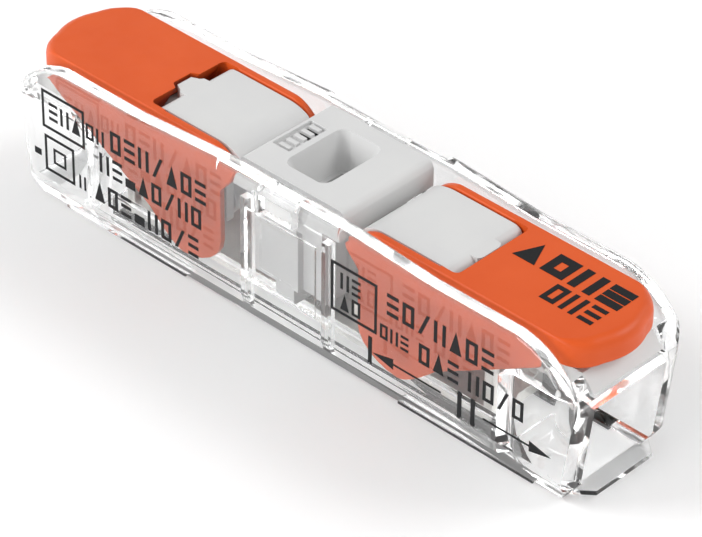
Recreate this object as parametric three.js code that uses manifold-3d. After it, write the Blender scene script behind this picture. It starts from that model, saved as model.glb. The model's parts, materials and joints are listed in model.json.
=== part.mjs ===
// Inline lever wire connector for two conductors: a clear housing with a wire
// mouth at each end, a light-grey centre insert with a test slot, and at each
// end an orange lever over a clamp cover, a clamping spring and the busbar.
// Millimetres, +Z up, X along the conductors, origin at the middle of the
// underside. The right-hand side is built at +X and mirrored for the left.
import * as THREE from 'three'
import { mergeVertices } from 'three/addons/utils/BufferGeometryUtils.js'
import Module from 'manifold-3d'

const wasm = await Module()
wasm.setup()

// ---- driving dimensions -------------------------------------------------
const HALF_LENGTH = 18.1          // middle to the foremost edge of a mouth
const HALF_WIDTH = 3.95           // middle to the outer face of a side wall
const WALL = 0.87                 // side wall thickness
const TOP_MIDDLE = 8.95           // wall tops beside the centre insert
const TOP_END = 8.58              // wall tops towards the ends
const BASE_Z = 0.2                // underside of the base, above the feet
const FLOOR_Z = 0.85              // inner floor under the busbar
const BEAD = 0.42                 // rounding along the wall tops
const FIT = 0.2                   // clearance between neighbouring pieces

const LEVER_TOP = 8.5
const LEVER_PLATE = 1.4           // thickness of the paddle
const LEVER_RIM = 0.12            // rounding along the paddle's sides
const LEVER_FILLET = 0.58         // rounding round the paddle's tip
const LEVER_HALF = 2.87           // half width of a lever
const LEVER_INNER = 2.45          // inner faces of the lever's side cheeks
const LEVER_TIP = 18.02
const WINDOW_END = 9.83           // outer edge of the lever's window
const WINDOW_LEAN = 0.57          // how far that edge leans out, mm per mm down
const NOTCH = 0.37                // depth of the left lever's notch in that edge
const PIVOT = { x: 6.5, z: 5.6 }  // lever axis, along Y
const TRUNNION_R = 0.9

const HEAD_HALF = 3.4             // half length of the insert's head
const HEAD_TOP = 8.85
const HEAD_UNDER = 7.4
const SLOT_X = -0.15              // the test slot sits just off the middle
const SLOT_HALF = { x: 1.36, y: 2.03 }

const COVER_HALF = 2.34           // half width of a clamp cover
const COVER_TOP = 8.42
const COVER_INNER = 3.85          // inner and outer ends of its raised part
const COVER_OUTER = 9.58
const SHELF_TOP = 6.9             // the cover's shelf under the paddle
const TAB_END = { right: 9.69, left: 10.07 }
const STRIP = 0.35                // spring steel thickness
const SPRING_HALF = 1.6           // half width of a spring
const BOW = { x: 5.9, z: 5.0, r: 1.1 }
const LEG_START = 230             // degrees round the bow where the leg begins
const LEG_LENGTH = 3.45

const BUSBAR_Z = 1.15
const BUSBAR_T = 0.6
const BUSBAR_HALF = 1.8

const CORNER = 1.1                // plan rounding of the housing's corners
// Lean of the end faces: half length at each height.
const END_PROFILE = [[17.1, BASE_Z], [17.55, 0.9], [HALF_LENGTH, 5.3], [HALF_LENGTH, 9]]

const MOUTH = { half: 2.45, low: 0.45, high: 5.4, cut: 0.5, back: 14.2 }
const FUNNEL_BACK = 13.3
const ROOF_Z = 5.85

// ---- solids -------------------------------------------------------------
function toSolid(geometry) {
  const g = geometry.index ? geometry.toNonIndexed() : geometry.clone()
  for (const name of Object.keys(g.attributes)) if (name !== 'position') g.deleteAttribute(name)
  const merged = mergeVertices(g, 1e-5)
  const mesh = new wasm.Mesh({
    numProp: 3,
    vertProperties: new Float32Array(merged.attributes.position.array),
    triVerts: new Uint32Array(merged.index.array),
  })
  return new wasm.Manifold(mesh)
}

function toGeometry(solid) {
  const mesh = solid.getMesh()
  const g = new THREE.BufferGeometry()
  g.setAttribute('position', new THREE.BufferAttribute(new Float32Array(mesh.vertProperties), 3))
  g.setIndex(new THREE.BufferAttribute(new Uint32Array(mesh.triVerts), 1))
  return g
}

const join = (...solids) => solids.reduce((a, b) => a.add(b))
const cut = (body, ...tools) => tools.reduce((a, b) => a.subtract(b), body)

// Box from low to high corner.
function block(x0, x1, y0, y1, z0, z1) {
  const g = new THREE.BoxGeometry(x1 - x0, y1 - y0, z1 - z0)
  g.translate((x0 + x1) / 2, (y0 + y1) / 2, (z0 + z1) / 2)
  return toSolid(g)
}

// The same box on both sides of the middle plane Y = 0.
const pair = (x0, x1, y0, y1, z0, z1) =>
  join(block(x0, x1, y0, y1, z0, z1), block(x0, x1, -y1, -y0, z0, z1))

// Side outline (x, z), extruded between two Y values, with rounded rims.
function profile(shape, y0, y1, rim = 0, curveSegments = 6, rimSegments = 4) {
  const g = new THREE.ExtrudeGeometry(shape, {
    depth: y1 - y0 - 2 * rim,
    curveSegments,
    bevelEnabled: rim > 0,
    bevelThickness: rim,
    bevelSize: rim,
    bevelOffset: -rim,
    bevelSegments: rimSegments,
  })
  g.rotateX(Math.PI / 2)
  g.translate(0, y1 - rim, 0)
  return toSolid(g)
}

// Plan outline (x, y), extruded between two Z values, with rounded rims.
function plan(shape, z0, z1, rim = 0, curveSegments = 8) {
  const g = new THREE.ExtrudeGeometry(shape, {
    depth: z1 - z0 - 2 * rim,
    curveSegments,
    bevelEnabled: rim > 0,
    bevelThickness: rim,
    bevelSize: rim,
    bevelOffset: -rim,
    bevelSegments: 4,
  })
  g.translate(0, 0, z0 + rim)
  return toSolid(g)
}

const flatYZ = (p) => new THREE.Vector2(p.y, p.z)
const flatXY = (p) => new THREE.Vector2(p.x, p.y)

// Closed loft through rings of 3-D points, one point for each other.
function loft(rings, flat) {
  const n = rings[0].length
  const last = (rings.length - 1) * n
  const index = []
  for (const [a, b, c] of THREE.ShapeUtils.triangulateShape(rings[0].map(flat), [])) {
    index.push(c, b, a)
    index.push(a + last, b + last, c + last)
  }
  for (let start = 0; start < last; start += n) {
    for (let i = 0; i < n; i++) {
      const a = start + i
      const b = start + ((i + 1) % n)
      index.push(a, b, b + n)
      index.push(a, b + n, a + n)
    }
  }
  const points = rings.flat().flatMap((p) => p.toArray())
  const g = new THREE.BufferGeometry()
  g.setAttribute('position', new THREE.Float32BufferAttribute(points, 3))
  g.setIndex(index)
  return toSolid(g)
}

// Points of a plan outline, raised to one height.
const ringAt = (shape, z, divisions = 5) =>
  shape.getPoints(divisions).slice(0, -1).map((p) => new THREE.Vector3(p.x, p.y, z))

const polygon = (points) => new THREE.Shape(points.map(([a, b]) => new THREE.Vector2(a, b)))

function roundedRect(cx, cy, halfX, halfY, radius) {
  const s = new THREE.Shape()
  const corners = [[1, -1, -90], [1, 1, 0], [-1, 1, 90], [-1, -1, 180]]
  for (const [sx, sy, start] of corners) {
    const x = cx + sx * (halfX - radius)
    const y = cy + sy * (halfY - radius)
    s.absarc(x, y, radius, THREE.MathUtils.degToRad(start), THREE.MathUtils.degToRad(start + 90))
  }
  s.closePath()
  return s
}

// Round bar along Y.
function roundBar(x, z, radius, y0, y1, sides = 20) {
  const g = new THREE.CylinderGeometry(radius, radius, y1 - y0, sides)
  g.translate(x, (y0 + y1) / 2, z)
  return toSolid(g)
}

// Bent metal strip: a centre line of (x, z) points given a thickness.
function strip(points, thickness, y0, y1) {
  const half = thickness / 2
  const line = points.map(([x, z]) => new THREE.Vector2(x, z))
  const offset = (side) => line.map((p, i) => {
    const before = line[Math.max(i - 1, 0)]
    const after = line[Math.min(i + 1, line.length - 1)]
    const along = after.clone().sub(before).normalize()
    return p.clone().add(new THREE.Vector2(-along.y, along.x).multiplyScalar(side * half))
  })
  return profile(new THREE.Shape([...offset(1), ...offset(-1).reverse()]), y0, y1)
}

function arcPoints(cx, cz, radius, from, to, steps) {
  const points = []
  for (let i = 0; i <= steps; i++) {
    const a = THREE.MathUtils.degToRad(from + ((to - from) * i) / steps)
    points.push([cx + radius * Math.cos(a), cz + radius * Math.sin(a)])
  }
  return points
}

// ---- clear housing ------------------------------------------------------
function wallOutline() {
  const s = new THREE.Shape()
  s.moveTo(-17.1, BASE_Z)
  s.lineTo(17.1, BASE_Z)
  s.lineTo(17.55, 0.9)
  s.lineTo(HALF_LENGTH, 5.3)
  s.bezierCurveTo(HALF_LENGTH, 6.6, 16.7, 8.3, 14.6, TOP_END)
  s.lineTo(9.4, TOP_END)
  s.lineTo(4.2, TOP_MIDDLE)
  s.lineTo(-4.2, TOP_MIDDLE)
  s.lineTo(-9.4, TOP_END)
  s.lineTo(-14.6, TOP_END)
  s.bezierCurveTo(-16.7, 8.3, -HALF_LENGTH, 6.6, -HALF_LENGTH, 5.3)
  s.lineTo(-17.55, 0.9)
  s.closePath()
  return s
}

// Everything the housing stays inside: the walls lean in towards the base, the
// ends lean in towards it too, and the four upright corners are rounded.
function envelope() {
  const across = [
    [-3.15, BASE_Z], [3.15, BASE_Z], [HALF_WIDTH, 2], [HALF_WIDTH, TOP_MIDDLE],
    [-HALF_WIDTH, TOP_MIDDLE], [-HALF_WIDTH, 2],
  ]
  const section = (x) => across.map(([y, z]) => new THREE.Vector3(x, y, z))
  const prism = loft([section(-HALF_LENGTH), section(HALF_LENGTH)], flatYZ)
  const rings = END_PROFILE.map(([x, z]) => ringAt(roundedRect(0, 0, x, HALF_WIDTH, CORNER), z, 10))
  return prism.intersect(loft(rings, flatXY))
}

const mouthRing = (x, half, low, high, corner) => [
  [-half + corner, low], [half - corner, low], [half, low + corner],
  [half, high], [-half, high], [-half, low + corner],
].map(([y, z]) => new THREE.Vector3(x, y, z))

// Wire passage at the +X end: a straight mouth, then a funnel.
function wirePassage() {
  const mouth = mouthRing(HALF_LENGTH + 1, MOUTH.half, MOUTH.low, MOUTH.high, MOUTH.cut)
  const back = mouthRing(MOUTH.back, MOUTH.half, MOUTH.low, MOUTH.high, MOUTH.cut)
  const throat = mouthRing(FUNNEL_BACK - 0.5, 1.6, 1.2, 4.9, 0.6)
  return loft([throat, back, mouth], flatYZ)
}

function mouthBlock() {
  const body = profile(polygon([
    [FUNNEL_BACK, BASE_Z], [HALF_LENGTH, BASE_Z], [HALF_LENGTH, 5.3],
    [HALF_LENGTH - 0.15, ROOF_Z], [MOUTH.back + 0.1, ROOF_Z], [FUNNEL_BACK, ROOF_Z - 0.53],
  ]), -3.3, 3.3)
  const gusset = polygon([[17.35, ROOF_Z - 0.1], [HALF_LENGTH - 0.1, ROOF_Z - 0.1], [17.35, 6.95]])
  const gussets = join(profile(gusset, 2.5, 3.3), profile(gusset, -3.3, -2.5))
  return cut(join(body, gussets), wirePassage())
}

// Thin lip that carries the mouth's floor forward.
const lip = () => plan(polygon([
  [14, -2.9], [16.9, -2.9], [HALF_LENGTH - 0.05, -1.9],
  [HALF_LENGTH - 0.05, 1.9], [16.9, 2.9], [14, 2.9],
]), BASE_Z, MOUTH.low)

// Fuller rounding of the wall's outer edge beside the centre insert.
function shoulderCut() {
  const low = TOP_MIDDLE - WALL
  const arc = arcPoints(HALF_WIDTH - WALL, low, WALL, 90, 0, 8)
  const section = (x) => [...arc, [5, low], [5, 10], [HALF_WIDTH - WALL, 10]]
    .map(([y, z]) => new THREE.Vector3(x, y, z))
  const near = loft([section(-3.9), section(3.9)], flatYZ)
  return join(near, near.mirror([0, 1, 0]))
}

function clearHousing() {
  const inner = HALF_WIDTH - WALL
  const walls = join(
    profile(wallOutline(), inner, HALF_WIDTH, BEAD, 12, 8),
    profile(wallOutline(), -HALF_WIDTH, -inner, BEAD, 12, 8),
  )
  const floor = block(-17, 17, -inner - 0.3, inner + 0.3, BASE_Z, FLOOR_Z)
  const mouth = mouthBlock()
  let body = join(walls, cut(floor, wirePassage(), wirePassage().mirror([1, 0, 0])))
  body = cut(join(body, mouth, mouth.mirror([1, 0, 0])).intersect(envelope()), shoulderCut())
  const foot = (x0, x1) => pair(x0, x1, 2.1, 3.12, 0, BASE_Z + 0.2)
  const rails = pair(-12.4, 12.4, 1.98, COVER_HALF, FLOOR_Z - 0.1, 1.9)
  const rib = (x0, x1) => pair(x0, x1, 2.62, inner + 0.1, FLOOR_Z - 0.1, 7)
  body = join(body, lip(), lip().mirror([1, 0, 0]), foot(7, 15.3), foot(-15.3, -7))
  body = join(body, rails, rib(2.4, 2.85), rib(-2.85, -2.4))
  // latch windows with a bar beside each, the shallow panels below them, and
  // the grooves over the latch
  body = cut(body, pair(-1.2, 0.9, 2.5, 4.5, 7.05, 8.15))
  body = cut(body, pair(-1.6, -1.38, HALF_WIDTH - 0.15, 4.5, 6.9, 8.15))
  body = cut(body, pair(-2.1, 2.45, HALF_WIDTH - 0.2, 4.5, 2.9, 6.95))
  const groove = (x) => pair(x - 0.06, x + 0.06, HALF_WIDTH - 0.35, 4.5, 8.3, 9.5)
  return cut(body, groove(-1.2), groove(1.2))
}

// ---- centre insert ------------------------------------------------------
function headOutline() {
  const flat = HEAD_HALF - 0.42
  const shoulder = HEAD_TOP - 0.45
  const s = new THREE.Shape()
  s.moveTo(-HEAD_HALF, HEAD_UNDER)
  s.lineTo(HEAD_HALF, HEAD_UNDER)
  s.lineTo(HEAD_HALF, shoulder)
  s.quadraticCurveTo(HEAD_HALF - 0.12, HEAD_TOP, flat, HEAD_TOP)
  s.lineTo(-flat, HEAD_TOP)
  s.quadraticCurveTo(-HEAD_HALF + 0.12, HEAD_TOP, -HEAD_HALF, shoulder)
  s.closePath()
  return s
}

const slotRing = (halfX, halfY, radius, z) =>
  ringAt(roundedRect(SLOT_X, 0, halfX, halfY, radius), z, 8)

function testSlot() {
  const taper = (p) => THREE.MathUtils.mapLinear(p, 7, HEAD_TOP, 0, 1)
  const over = taper(HEAD_TOP + 0.3)
  const grow = (low, high) => low + (high - low) * over
  const top = slotRing(grow(0.85, SLOT_HALF.x), grow(1.5, SLOT_HALF.y), 0.55, HEAD_TOP + 0.3)
  const low = slotRing(0.85, 1.5, 0.55, 7)
  const shaft = roundedRect(SLOT_X, 0, 0.6, 1.2, 0.2)
  return join(loft([low, top], flatXY), plan(shaft, 0, 7.2, 0, 4))
}

function centreInsert() {
  const head = profile(headOutline(), -2.97, 2.97)
  const web = block(-2.2, 2.2, -2.85, 2.85, 3, HEAD_UNDER + 0.1)
  const leg = block(-0.85, 0.35, -2.85, 2.85, 2.15, 3.1)
  const latches = pair(-1.05, 0.75, 2.8, 3.65, 7.2, 8)
  const relief = pair(0.6, 2.3, 2.5, 3, 2.8, 6.6)
  // sunk label with plain raised ridges
  const label = block(-2.95, -1.88, -1.2, 1.35, HEAD_TOP - 0.2, HEAD_TOP + 1)
  const ridges = [-0.9, -0.4, 0.1, 0.6, 1.1].map((y) =>
    block(-2.75, -2.08, y - 0.12, y + 0.12, HEAD_TOP - 0.3, HEAD_TOP - 0.04))
  return join(cut(join(head, web, leg, latches), relief, label, testSlot()), ...ridges)
}

// ---- clamp cover --------------------------------------------------------
// Raised part that fills the lever's window, rounded over at both ends.
function domeOutline() {
  const s = new THREE.Shape()
  s.moveTo(COVER_INNER, 7.2)
  s.lineTo(COVER_INNER, 7.75)
  s.bezierCurveTo(COVER_INNER + 0.1, 8.15, 4.6, COVER_TOP - 0.02, 5.3, COVER_TOP)
  s.lineTo(8.8, COVER_TOP)
  s.quadraticCurveTo(COVER_OUTER - 0.05, COVER_TOP, COVER_OUTER, 7.7)
  s.lineTo(COVER_OUTER + 0.05, SHELF_TOP - 0.1)
  s.lineTo(9.1, SHELF_TOP - 0.15)
  s.lineTo(8.8, 7.45)
  s.lineTo(4.4, 7.2)
  s.closePath()
  return s
}

const shelfOutline = () => polygon([
  [9.1, SHELF_TOP - 0.2], [12.6, 6.05], [17.92, 6.05], [17.2, SHELF_TOP], [9.1, SHELF_TOP],
])

function clampCover(side) {
  const middle = (COVER_INNER + COVER_OUTER) / 2
  const trim = roundedRect(middle, 0, COVER_OUTER - middle + 0.06, COVER_HALF, 0.3)
  const dome = profile(domeOutline(), -3, 3, 0, 8).intersect(plan(trim, 6, 9))
  const shelf = profile(shelfOutline(), -COVER_HALF, COVER_HALF)
  const end = TAB_END[side]
  const tab = plan(polygon([
    [8.8, -0.85], [9.55, -0.8], [9.65, -0.66], [end, -0.46],
    [end, 0.46], [9.65, 0.66], [9.55, 0.8], [8.8, 0.85],
  ]), 7.6, COVER_TOP - 0.03)
  const skirt = polygon([[4.5, 7.4], [4.5, 4.3], [8.6, 4.3], [9.6, 6.8], [8.9, 7.6]])
  const skirts = join(profile(skirt, 1.88, COVER_HALF), profile(skirt, -COVER_HALF, -1.88))
  const socket = roundBar(PIVOT.x, PIVOT.z, TRUNNION_R + FIT, -4, 4, 24)
  return cut(join(dome, shelf, tab, skirts), socket)
}

// ---- lever --------------------------------------------------------------
function paddleOutline() {
  const side = LEVER_HALF
  const start = 15.9
  const back = WINDOW_END - 1
  const bulge = 2 * LEVER_TIP - 17.7
  const s = new THREE.Shape()
  s.moveTo(back, -side)
  s.lineTo(start, -side)
  s.bezierCurveTo(16.9, -side, 17.5, -2.35, 17.7, -1.4)
  s.quadraticCurveTo(bulge, 0, 17.7, 1.4)
  s.bezierCurveTo(17.5, 2.35, 16.9, side, start, side)
  s.lineTo(back, side)
  s.closePath()
  return s
}

// Paddle whose upper rim is nearly sharp along the sides and round at the tip.
function paddle() {
  const under = LEVER_TOP - LEVER_PLATE
  const outline = ringAt(paddleOutline(), 0, 8)
  const count = outline.length
  const inward = outline.map((p, i) => {
    const along = outline[(i + 1) % count].clone().sub(outline[(i + count - 1) % count])
    return new THREE.Vector3(-along.y, along.x, 0).normalize()
  })
  const rim = outline.map((p) =>
    THREE.MathUtils.lerp(LEVER_RIM, LEVER_FILLET, THREE.MathUtils.smoothstep(p.x, 15.9, 17.3)))
  const ring = (inset, height) => outline.map((p, i) =>
    p.clone().addScaledVector(inward[i], inset(rim[i])).setZ(height(rim[i])))
  const rings = [
    ring(() => LEVER_RIM, () => under),
    ring(() => 0, () => under + LEVER_RIM),
  ]
  for (const degrees of [0, 22.5, 45, 67.5, 90]) {
    const a = THREE.MathUtils.degToRad(degrees)
    rings.push(ring((r) => r * (1 - Math.cos(a)), (r) => LEVER_TOP - r * (1 - Math.sin(a))))
  }
  return loft(rings, flatXY)
}

// Window in the paddle. Its outer edge leans, to lift clear of the cover.
function windowCut() {
  const ring = (z) => {
    const end = WINDOW_END + WINDOW_LEAN * (LEVER_TOP - z)
    return ringAt(roundedRect((7.5 + end) / 2, 0, (end - 7.5) / 2, LEVER_INNER, 0.3), z)
  }
  return loft([ring(6), ring(9)], flatXY)
}

function notchCut() {
  const ring = (z) => {
    const end = WINDOW_END + WINDOW_LEAN * (LEVER_TOP - z)
    return [
      [9, -0.8], [end, -0.8], [end + NOTCH, -0.58], [end + NOTCH, 0.58], [end, 0.8], [9, 0.8],
    ].map(([x, y]) => new THREE.Vector3(x, y, z))
  }
  return loft([ring(6), ring(9)], flatXY)
}

function cheekOutline() {
  const s = new THREE.Shape()
  s.moveTo(3.68, 7.22)
  s.lineTo(4.45, 6.35)
  s.lineTo(4.45, 3.4)
  s.bezierCurveTo(4.45, 2.4, 5.6, 1.55, 7, 1.52)
  s.quadraticCurveTo(7.7, 1.55, 9.3, 3.1)
  s.lineTo(15.3, 6.6)
  s.lineTo(16.1, 7.15)
  s.lineTo(16.1, 7.9)
  s.lineTo(11, LEVER_TOP)
  s.lineTo(5.3, LEVER_TOP)
  s.quadraticCurveTo(4.8, LEVER_TOP - 0.05, 4.33, 8.1)
  s.lineTo(3.62, 7.47)
  s.closePath()
  return s
}

function lever(side) {
  // the outer face of a cheek is relieved below a line that turns down at the end
  const relief = polygon([[3, 0], [14.1, 0], [14.1, 6.1], [13.7, 6.6], [13.1, 6.8], [3, 6.8]])
  const cheek = cut(
    profile(cheekOutline(), LEVER_INNER, LEVER_HALF, LEVER_RIM),
    profile(relief, LEVER_HALF - 0.07, 4),
  )
  const trunnion = roundBar(PIVOT.x, PIVOT.z, TRUNNION_R, 1.95, LEVER_INNER + 0.1)
  const half = join(cheek, trunnion)
  const tools = side === 'left' ? [windowCut(), notchCut()] : [windowCut()]
  return join(cut(paddle(), ...tools), half, half.mirror([0, 1, 0]))
}

// ---- metal parts --------------------------------------------------------
// Fixed half of the spring: the upper leg under the frame, and the bow.
function clampSpring() {
  const line = [
    [10.7, 5.75], [9.9, BOW.z + BOW.r],
    ...arcPoints(BOW.x, BOW.z, BOW.r, 90, LEG_START - 12, 10),
  ]
  return strip(line, STRIP, -SPRING_HALF, SPRING_HALF)
}

// Clamping leg: leaves the bow and presses its edge on the busbar.
function springLeg() {
  const a = THREE.MathUtils.degToRad(LEG_START)
  const root = [BOW.x + BOW.r * Math.cos(a), BOW.z + BOW.r * Math.sin(a)]
  const tip = [root[0] - LEG_LENGTH * Math.sin(a), root[1] + LEG_LENGTH * Math.cos(a)]
  return strip([root, tip], STRIP, -SPRING_HALF + 0.1, SPRING_HALF - 0.1)
}

function busbar() {
  const top = BUSBAR_Z + BUSBAR_T
  const bar = block(-11.9, 11.9, -BUSBAR_HALF, BUSBAR_HALF, BUSBAR_Z, top)
  // an upright frame at each end that the wire passes through
  const frame = cut(
    block(11.4, 11.9, -BUSBAR_HALF, BUSBAR_HALF, BUSBAR_Z, 5.95),
    block(11, 12.5, -1.35, 1.35, top, 5.3),
  )
  const tab = block(-2.9, -2.4, -0.9, 0.9, BUSBAR_Z, 2.8)
  const hook = block(-2.9, -1.9, -0.9, 0.9, 2.35, 2.8)
  const rest = block(2.4, 2.9, -0.9, 0.9, BUSBAR_Z, 2.5)
  return join(bar, frame, frame.mirror([1, 0, 0]), tab, hook, rest)
}

// ---- assembly -----------------------------------------------------------
const finishes = {
  clear: new THREE.MeshStandardMaterial({ color: '#e8eef0', roughness: 0.08, metalness: 0 }),
  grey: new THREE.MeshStandardMaterial({ color: '#dcdcdc', roughness: 0.5, metalness: 0 }),
  orange: new THREE.MeshStandardMaterial({ color: '#e0622d', roughness: 0.45, metalness: 0 }),
  steel: new THREE.MeshStandardMaterial({ color: '#b9bcc0', roughness: 0.3, metalness: 1 }),
  tin: new THREE.MeshStandardMaterial({ color: '#c9c7c2', roughness: 0.35, metalness: 1 }),
}

const connector = new THREE.Group()

function place(name, solid, finish) {
  const mesh = new THREE.Mesh(toGeometry(solid), finishes[finish])
  mesh.name = name
  connector.add(mesh)
}

place('clear_housing', clearHousing(), 'clear')
place('centre_insert', centreInsert(), 'grey')
place('busbar', busbar(), 'tin')

for (const side of ['right', 'left']) {
  const turn = (solid) => side === 'left' ? solid.mirror([1, 0, 0]) : solid
  place(`clamp_cover_${side}`, turn(clampCover(side)), 'grey')
  place(`lever_${side}`, turn(lever(side)), 'orange')
  place(`clamp_spring_${side}`, turn(clampSpring()), 'steel')
  place(`spring_leg_${side}`, turn(springLeg()), 'steel')
}

export default connector
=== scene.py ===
"""Inline lever wire connector for two conductors, in Blender 4.5.

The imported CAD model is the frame. Every CAD node is shown by a refined copy with
rounded creases and a procedural material, and the printed marks are thin inks on
the housing's near wall and on the right lever. Names that end in MM, and the
marks, are in millimetres; everything else is in metres.
"""
import json
import math

import bmesh
import bpy
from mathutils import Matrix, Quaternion, Vector

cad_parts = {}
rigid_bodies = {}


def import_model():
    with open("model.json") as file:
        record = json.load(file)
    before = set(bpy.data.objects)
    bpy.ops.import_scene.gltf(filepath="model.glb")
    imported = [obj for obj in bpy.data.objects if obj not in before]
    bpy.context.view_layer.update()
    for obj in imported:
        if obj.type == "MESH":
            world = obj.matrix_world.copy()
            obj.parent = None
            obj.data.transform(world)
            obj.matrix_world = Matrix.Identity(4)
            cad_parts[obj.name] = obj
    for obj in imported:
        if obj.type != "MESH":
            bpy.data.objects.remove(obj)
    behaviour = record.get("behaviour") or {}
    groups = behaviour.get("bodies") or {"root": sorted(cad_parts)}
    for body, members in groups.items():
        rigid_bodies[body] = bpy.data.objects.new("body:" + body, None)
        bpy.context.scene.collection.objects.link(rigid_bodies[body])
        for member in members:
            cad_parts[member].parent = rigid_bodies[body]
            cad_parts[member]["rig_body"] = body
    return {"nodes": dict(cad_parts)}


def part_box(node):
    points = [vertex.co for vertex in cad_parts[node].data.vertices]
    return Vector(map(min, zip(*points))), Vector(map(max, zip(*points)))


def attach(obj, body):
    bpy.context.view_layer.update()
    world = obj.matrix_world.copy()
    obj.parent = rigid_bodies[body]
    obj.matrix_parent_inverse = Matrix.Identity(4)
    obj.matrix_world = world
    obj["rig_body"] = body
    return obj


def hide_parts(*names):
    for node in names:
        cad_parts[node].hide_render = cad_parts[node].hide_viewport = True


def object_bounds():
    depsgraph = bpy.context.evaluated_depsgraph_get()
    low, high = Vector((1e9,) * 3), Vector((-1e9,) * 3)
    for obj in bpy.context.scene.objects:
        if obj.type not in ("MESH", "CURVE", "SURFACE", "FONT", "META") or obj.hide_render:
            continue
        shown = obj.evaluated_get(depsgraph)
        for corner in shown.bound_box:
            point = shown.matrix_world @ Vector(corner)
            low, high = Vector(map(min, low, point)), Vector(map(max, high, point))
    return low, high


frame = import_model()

MM = 0.001
CAD_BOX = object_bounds()
INK_GAP_MM = 0.004                # between a surface and the ink on it
INK_THICK_MM = 0.012
LIGHT_DISTANCE = 0.6
MERGE_MM = 0.0005                 # points closer than this are one
COPLANAR = math.radians(0.6)      # faces within this angle are one flat
CREASE = math.radians(32)         # edges bent more than this are rounded
SHARP = math.radians(50)          # edges bent more than this shade as sharp
CREASE_ROOM = 2.2                 # widths of free edge that a rounding needs


# ---- camera, light and floor ---------------------------------------------
def add_camera():
    """A long lens above the near right-hand corner of the connector."""
    azimuth, elevation, roll = (math.radians(a) for a in (43.37, 36.37, 0.66))
    distance = 187.5 * MM
    target = Vector((-1.855, 3.035, -0.089)) * MM
    back = Vector((
        math.sin(azimuth) * math.cos(elevation),
        -math.cos(azimuth) * math.cos(elevation),
        math.sin(elevation),
    ))
    data = bpy.data.cameras.new("camera")
    data.lens = 199.2
    data.sensor_width = 36
    data.clip_start = 0.002
    data.clip_end = 10
    camera = bpy.data.objects.new("camera", data)
    camera.location = target + back * distance
    camera.rotation_mode = "QUATERNION"
    camera.rotation_quaternion = (-back).to_track_quat("-Z", "Y") @ Quaternion((0, 0, 1), roll)
    bpy.context.scene.collection.objects.link(camera)
    bpy.context.scene.camera = camera


def add_table_piece(name, half_x, half_y, drop, albedo, glow):
    """Flat white piece under the connector, `drop` millimetres below its feet."""
    x, y = half_x * MM, half_y * MM
    mesh = bpy.data.meshes.new(name)
    mesh.from_pydata([(-x, -y, 0), (x, -y, 0), (x, y, 0), (-x, y, 0)], [], [(0, 1, 2, 3)])
    piece = bpy.data.objects.new(name, mesh)
    piece.location.z = CAD_BOX[0].z - drop * MM
    bpy.context.scene.collection.objects.link(piece)
    material, shader = principled(name)
    shader.inputs["Base Color"].default_value = (albedo, albedo, albedo, 1)
    shader.inputs["Emission Color"].default_value = (1, 1, 1, 1)
    shader.inputs["Emission Strength"].default_value = glow
    shader.inputs["Roughness"].default_value = 0.9
    shader.inputs["Specular IOR Level"].default_value = 0.0
    mesh.materials.append(material)


def add_floor():
    """White table, and a card that lifts the light inside the clear housing."""
    add_table_piece("floor", 3000, 3000, 0.02, 0.91, 0.05)
    add_table_piece("light_card", 16.8, 2.9, 0.01, 0.91, 0.5)


def add_world():
    """Bright tent with a dark band above the horizon, which draws the clear edges."""
    world = bpy.data.worlds.new("tent")
    bpy.context.scene.world = world
    world.use_nodes = True
    nodes = world.node_tree.nodes
    links = world.node_tree.links
    nodes.clear()
    coordinates = nodes.new("ShaderNodeTexCoord")
    split = nodes.new("ShaderNodeSeparateXYZ")
    links.new(coordinates.outputs["Generated"], split.inputs[0])
    ramp = nodes.new("ShaderNodeValToRGB")
    stops = (
        (0.0, 1.5), (0.13, 1.45), (0.15, 0.18), (0.24, 0.18), (0.28, 1.1), (0.6, 0.55), (1.0, 0.38),
    )
    fill_ramp(ramp, [(at, (value, value, value, 1)) for at, value in stops])
    links.new(split.outputs["Z"], ramp.inputs["Fac"])
    background = nodes.new("ShaderNodeBackground")
    links.new(ramp.outputs["Color"], background.inputs["Color"])
    output = nodes.new("ShaderNodeOutputWorld")
    links.new(background.outputs[0], output.inputs["Surface"])


def add_soft_box(name, azimuth, elevation, size, power):
    """Rectangular area light aimed at the middle of the connector."""
    azimuth, elevation = math.radians(azimuth), math.radians(elevation)
    back = Vector((
        math.sin(azimuth) * math.cos(elevation),
        -math.cos(azimuth) * math.cos(elevation),
        math.sin(elevation),
    ))
    data = bpy.data.lights.new(name, "AREA")
    data.shape = "RECTANGLE"
    data.size, data.size_y = size
    data.energy = power
    light = bpy.data.objects.new(name, data)
    light.location = back * LIGHT_DISTANCE
    light.rotation_mode = "QUATERNION"
    light.rotation_quaternion = (-back).to_track_quat("-Z", "Y")
    bpy.context.scene.collection.objects.link(light)


def set_colour_management():
    scene = bpy.context.scene
    scene.view_settings.view_transform = "Standard"
    scene.cycles.max_bounces = 24
    scene.cycles.transmission_bounces = 24
    scene.cycles.glossy_bounces = 12
    scene.cycles.blur_glossy = 0.5


# ---- material helpers ------------------------------------------------------
def principled(name):
    material = bpy.data.materials.new(name)
    material.use_nodes = True
    return material, material.node_tree.nodes["Principled BSDF"]


def fill_ramp(ramp, stops):
    elements = ramp.color_ramp.elements
    while len(elements) > 1:
        elements.remove(elements[-1])
    elements[0].position, elements[0].color = stops[0]
    for position, colour in stops[1:]:
        elements.new(position).color = colour


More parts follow.
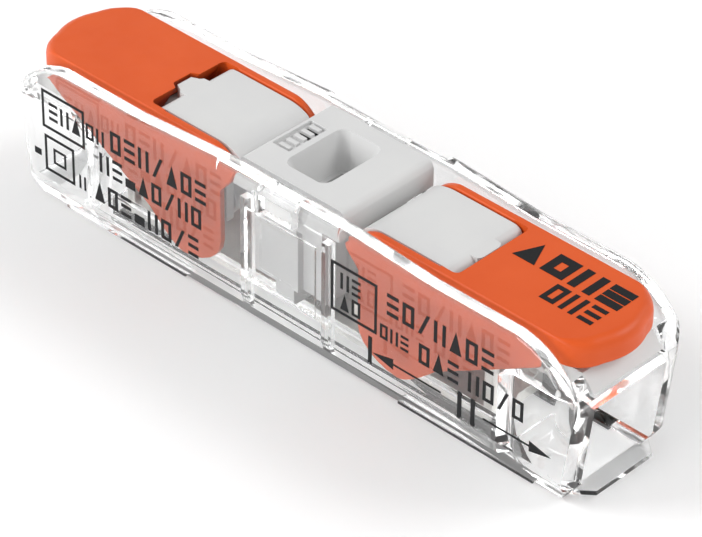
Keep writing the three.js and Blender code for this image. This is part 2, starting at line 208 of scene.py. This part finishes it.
def object_noise(material, scale, detail=4.0, roughness=0.5, stretch=(1, 1, 1)):
    """Noise fixed to the piece, with `scale` features to the millimetre."""
    nodes, links = material.node_tree.nodes, material.node_tree.links
    coordinates = nodes.new("ShaderNodeTexCoord")
    mapping = nodes.new("ShaderNodeMapping")
    mapping.inputs["Scale"].default_value = [s / MM for s in stretch]
    noise = nodes.new("ShaderNodeTexNoise")
    noise.inputs["Scale"].default_value = scale
    noise.inputs["Detail"].default_value = detail
    noise.inputs["Roughness"].default_value = roughness
    links.new(coordinates.outputs["Object"], mapping.inputs["Vector"])
    links.new(mapping.outputs["Vector"], noise.inputs["Vector"])
    return noise.outputs["Fac"]


def drive_range(material, fac, socket, low, high, between=(0.3, 0.7)):
    nodes, links = material.node_tree.nodes, material.node_tree.links
    span = nodes.new("ShaderNodeMapRange")
    span.inputs["From Min"].default_value, span.inputs["From Max"].default_value = between
    span.inputs["To Min"].default_value = low
    span.inputs["To Max"].default_value = high
    links.new(fac, span.inputs["Value"])
    links.new(span.outputs["Result"], socket)


def drive_colour(material, fac, socket, low, high, between=(0.3, 0.7)):
    nodes, links = material.node_tree.nodes, material.node_tree.links
    ramp = nodes.new("ShaderNodeValToRGB")
    fill_ramp(ramp, [(between[0], (*low, 1)), (between[1], (*high, 1))])
    links.new(fac, ramp.inputs["Fac"])
    links.new(ramp.outputs["Color"], socket)


def add_bump(material, shader, fac, depth):
    nodes, links = material.node_tree.nodes, material.node_tree.links
    bump = nodes.new("ShaderNodeBump")
    bump.inputs["Strength"].default_value = 1.0
    bump.inputs["Distance"].default_value = depth * MM
    links.new(fac, bump.inputs["Height"])
    links.new(bump.outputs["Normal"], shader.inputs["Normal"])


def tone(red, green, blue):
    """Linear colour of an sRGB tone in 0 to 255."""
    def linear(value):
        value /= 255
        return value / 12.92 if value <= 0.04045 else ((value + 0.055) / 1.055) ** 2.4
    return tuple(linear(v) for v in (red, green, blue))


# ---- materials -------------------------------------------------------------
def clear_polycarbonate():
    """Water-clear moulding, with the faint flow marks of the mould."""
    material, shader = principled("clear_polycarbonate")
    shader.inputs["Base Color"].default_value = (0.985, 0.99, 0.99, 1)
    shader.inputs["Transmission Weight"].default_value = 1.0
    shader.inputs["IOR"].default_value = 1.3
    shader.inputs["Coat Weight"].default_value = 1.0
    shader.inputs["Coat Roughness"].default_value = 0.02
    flow = object_noise(material, 0.35, detail=2.0, stretch=(0.5, 1, 1))
    drive_range(material, flow, shader.inputs["Roughness"], 0.0, 0.03)
    return material


def moulded_plastic(name, low, high, roughness, depth):
    """Opaque moulding: slight tone drift and the fine grain of an eroded mould."""
    material, shader = principled(name)
    drift = object_noise(material, 0.3, detail=3.0)
    drive_colour(material, drift, shader.inputs["Base Color"], low, high)
    patches = object_noise(material, 1.5, detail=3.0)
    drive_range(material, patches, shader.inputs["Roughness"], *roughness)
    grain = object_noise(material, 9.0, detail=3.0, roughness=0.6)
    add_bump(material, shader, grain, depth)
    shader.inputs["Specular IOR Level"].default_value = 0.28
    return material


def metal(name, low, high, roughness, stretch, depth):
    """Rolled strip, with drawing lines along the strip."""
    material, shader = principled(name)
    shader.inputs["Metallic"].default_value = 1.0
    drift = object_noise(material, 0.8, detail=4.0)
    drive_colour(material, drift, shader.inputs["Base Color"], low, high)
    lines = object_noise(material, 5.0, detail=5.0, roughness=0.7, stretch=stretch)
    drive_range(material, lines, shader.inputs["Roughness"], *roughness)
    add_bump(material, shader, lines, depth)
    return material


def print_ink():
    material, shader = principled("print_ink")
    patches = object_noise(material, 6.0, detail=4.0)
    drive_colour(material, patches, shader.inputs["Base Color"], (0.008, 0.008, 0.009), (0.013, 0.013, 0.014))
    drive_range(material, patches, shader.inputs["Roughness"], 0.5, 0.65)
    shader.inputs["Specular IOR Level"].default_value = 0.2
    return material


# ---- printed marks ---------------------------------------------------------
# A glyph takes its lower left corner, width, height and line weight, and gives
# its polygons. The shapes are abstract and stand for no letter or number.
def bar(u, v, width, height, lean=0.0):
    return [(u, v), (u + width, v), (u + width + lean, v + height), (u + lean, v + height)]


def hollow(u, v, width, height, line):
    return [
        bar(u, v, width, line),
        bar(u, v + height - line, width, line),
        bar(u, v + line, line, height - 2 * line),
        bar(u + width - line, v + line, line, height - 2 * line),
    ]


def solid(u, v, width, height, line):
    return [bar(u, v, width, 0.45 * height)]


def posts(u, v, width, height, line):
    return [bar(u, v, line, height), bar(u + width - line, v, line, height)]


def levels(u, v, width, height, line):
    return [bar(u, v + at * (height - line), width, line) for at in (0, 0.5, 1)]


def slash(u, v, width, height, line):
    return [bar(u, v, line, height, lean=width - line)]


def wedge(u, v, width, height, line):
    return [[(u, v), (u + width, v), (u + width / 2, v + height)]]


def glyph_row(glyphs, u, v, height, width=0.6, weight=0.17):
    """Abstract shapes in a line; width and weight are shares of their height."""
    polygons = []
    for place, glyph in enumerate(glyphs):
        left = u + place * (width + 0.2) * height
        polygons += glyph(left, v, width * height, height, weight * height)
    return polygons


def arrow(tail, tip, v, line=0.11, head=1.3, spread=0.3):
    """Arrow along the wall, from tail to tip."""
    neck = tip + head if tail > tip else tip - head
    shaft = bar(min(tail, neck), v - line / 2, abs(tail - neck), line)
    return [shaft, [(tip, v), (neck, v - spread), (neck, v + spread)]]


def gauge_marks():
    """Strip-length gauge: an end tick and two arrows, with a pair of bars between."""
    return [
        bar(5.88, 2.25, 0.24, 1.55), *arrow(10.4, 6.15, 2.97),
        bar(11.4, 2.15, 0.26, 1.5), bar(12.2, 2.15, 0.26, 1.5), *arrow(12.95, 17.0, 2.9),
    ]


def right_wall_marks():
    long_row = (levels, hollow, slash, posts, wedge, hollow, levels)
    return [
        *hollow(3.5, 4.1, 2.9, 2.8, 0.16),
        *glyph_row((posts, levels), 4.1, 5.55, 0.9), *glyph_row((wedge, hollow), 4.1, 4.4, 0.9),
        *glyph_row(long_row, 7.0, 5.6, 1.2), *glyph_row((hollow, posts, levels), 6.6, 4.1, 0.8),
        *glyph_row((hollow, wedge, levels), 9.0, 3.95, 1.1),
        *glyph_row((posts, hollow, slash, hollow), 12.0, 3.95, 1.1), *gauge_marks(),
    ]


def left_wall_marks():
    first = (hollow, levels, posts, slash, wedge, hollow, levels)
    second = (posts, levels, solid, wedge, hollow, slash, posts, hollow)
    third = (wedge, hollow, levels, solid, posts, hollow, slash, levels)
    return [
        *hollow(-15.9, 4.95, 3.0, 2.2, 0.16), *glyph_row((levels, posts, wedge), -15.4, 5.55, 1.0),
        *glyph_row((hollow, posts), -12.8, 5.7, 0.9), *glyph_row(first, -11.1, 5.75, 1.2),
        *glyph_row(second, -11.9, 4.2, 1.12), *glyph_row(third, -12.3, 2.4, 1.15),
        *hollow(-15.8, 2.45, 2.1, 2.1, 0.16), *hollow(-15.2, 3.05, 0.9, 0.9, 0.14),
        *glyph_row((solid,), -16.55, 3.1, 0.8), *glyph_row((posts,), -13.4, 2.5, 0.8),
    ]


def lever_marks():
    bold = (wedge, hollow, posts, levels)
    return [
        *glyph_row(bold, 10.5, 0.45, 1.5, width=0.88, weight=0.3),
        *glyph_row((hollow, posts, levels), 13.5, -1.15, 1.3, width=0.64, weight=0.2),
    ]


def printed(name, polygons, place, body, material):
    """Thin ink shapes; `place` turns (along, up, out) in millimetres into a position."""
    bm = bmesh.new()
    for polygon in polygons:
        low = [bm.verts.new(place(u, v, INK_GAP_MM)) for u, v in polygon]
        high = [bm.verts.new(place(u, v, INK_GAP_MM + INK_THICK_MM)) for u, v in polygon]
        bm.faces.new(low)
        bm.faces.new(high)
        for i in range(len(polygon)):
            bm.faces.new((low[i - 1], low[i], high[i], high[i - 1]))
    bmesh.ops.recalc_face_normals(bm, faces=bm.faces)
    mesh = bpy.data.meshes.new(name)
    bm.to_mesh(mesh)
    bm.free()
    mesh.materials.append(material)
    ink = bpy.data.objects.new(name, mesh)
    bpy.context.scene.collection.objects.link(ink)
    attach(ink, body)


def on_near_wall(along, up, out):
    return Vector((along * MM, CAD_BOX[0].y - out * MM, up * MM))


def on_lever_top(along, across, out):
    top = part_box("lever_right")[1].z
    return Vector((along * MM, across * MM, top + out * MM))


# ---- refined copies of the CAD nodes ---------------------------------------
def edge_room(edge):
    """Shortest edge that runs on from either end of this one."""
    others = [e for v in edge.verts for e in v.link_edges]
    return min(e.calc_length() for e in others)


def round_creases(bm, width):
    """Rounds every crease that has room for it."""
    creases = [
        e for e in bm.edges
        if e.is_manifold and e.calc_face_angle() > CREASE and edge_room(e) > CREASE_ROOM * width
    ]
    bmesh.ops.bevel(
        bm, geom=creases, offset=width, offset_type="OFFSET", segments=2,
        profile=0.5, affect="EDGES", clamp_overlap=True, miter_outer="ARC",
    )


def flat_areas(bm):
    """Area of the whole flat that each face belongs to."""
    areas = {}
    for face in bm.faces:
        if face in areas:
            continue
        flat = [face]
        areas[face] = 0
        for current in flat:
            for near in (f for e in current.edges for f in e.link_faces):
                if near not in areas and current.normal.angle(near.normal, 0) < COPLANAR:
                    areas[near] = 0
                    flat.append(near)
        area = sum(f.calc_area() for f in flat)
        areas.update((f, area) for f in flat)
    return areas


def corner_normals(bm):
    """Normals in which the broad flats outweigh the facets of a rounding."""
    areas = flat_areas(bm)
    normals = []
    for face in bm.faces:
        for vert in face.verts:
            total = Vector()
            for corner in vert.link_loops:
                other = corner.face
                if other.normal.angle(face.normal, 0) < SHARP:
                    total += other.normal * corner.calc_angle() * areas[other] ** 2
            normals.append(total.normalized() if total.length > 0 else face.normal.copy())
    return normals


def refined(node, material, width_mm):
    """A copy of a CAD node with its creases rounded, which is shown in its place."""
    source = frame["nodes"][node]
    bm = bmesh.new()
    bm.from_mesh(source.data)
    bmesh.ops.remove_doubles(bm, verts=bm.verts, dist=MERGE_MM * MM)
    bmesh.ops.dissolve_limit(
        bm, angle_limit=COPLANAR, verts=bm.verts, edges=bm.edges, delimit=set(),
    )
    round_creases(bm, width_mm * MM)
    bmesh.ops.triangulate(bm, faces=bm.faces)
    bm.normal_update()
    normals = corner_normals(bm)
    mesh = bpy.data.meshes.new(f"{node}_finish")
    bm.to_mesh(mesh)
    bm.free()
    mesh.materials.append(material)
    mesh.shade_smooth()
    mesh.normals_split_custom_set(normals)
    piece = bpy.data.objects.new(f"{node}_finish", mesh)
    bpy.context.scene.collection.objects.link(piece)
    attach(piece, source["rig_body"])
    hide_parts(node)


def main():
    add_camera()
    add_floor()
    add_world()
    add_soft_box("back_right", 140, 42, (0.3, 0.2), 1.45)
    add_soft_box("front_left", -43, 42, (0.22, 0.16), 1.4)
    add_soft_box("front_low", -8, 14, (0.4, 0.16), 1.35)
    set_colour_management()
    clear = clear_polycarbonate()
    orange = moulded_plastic("orange_polyamide", tone(209, 82, 28), tone(214, 87, 33), (0.36, 0.46), 0.0012)
    grey = moulded_plastic("grey_polyamide", tone(204, 204, 204), tone(209, 209, 208), (0.44, 0.54), 0.0015)
    tin = metal("tinned_copper", tone(228, 226, 222), tone(240, 238, 234), (0.35, 0.5), (0.2, 1, 1), 0.002)
    steel = metal("spring_steel", tone(205, 207, 210), tone(222, 223, 226), (0.28, 0.42), (0.2, 1, 1), 0.002)
    ink = print_ink()
    refined("clear_housing", clear, 0.07)
    refined("centre_insert", grey, 0.07)
    refined("busbar", tin, 0.05)
    for side in ("right", "left"):
        refined(f"clamp_cover_{side}", grey, 0.07)
        refined(f"lever_{side}", orange, 0.07)
        refined(f"clamp_spring_{side}", steel, 0.04)
        refined(f"spring_leg_{side}", steel, 0.04)
    printed("right_wall_print", right_wall_marks(), on_near_wall, "connector_body", ink)
    printed("left_wall_print", left_wall_marks(), on_near_wall, "connector_body", ink)
    printed("lever_print", lever_marks(), on_lever_top, "lever_right", ink)


main()
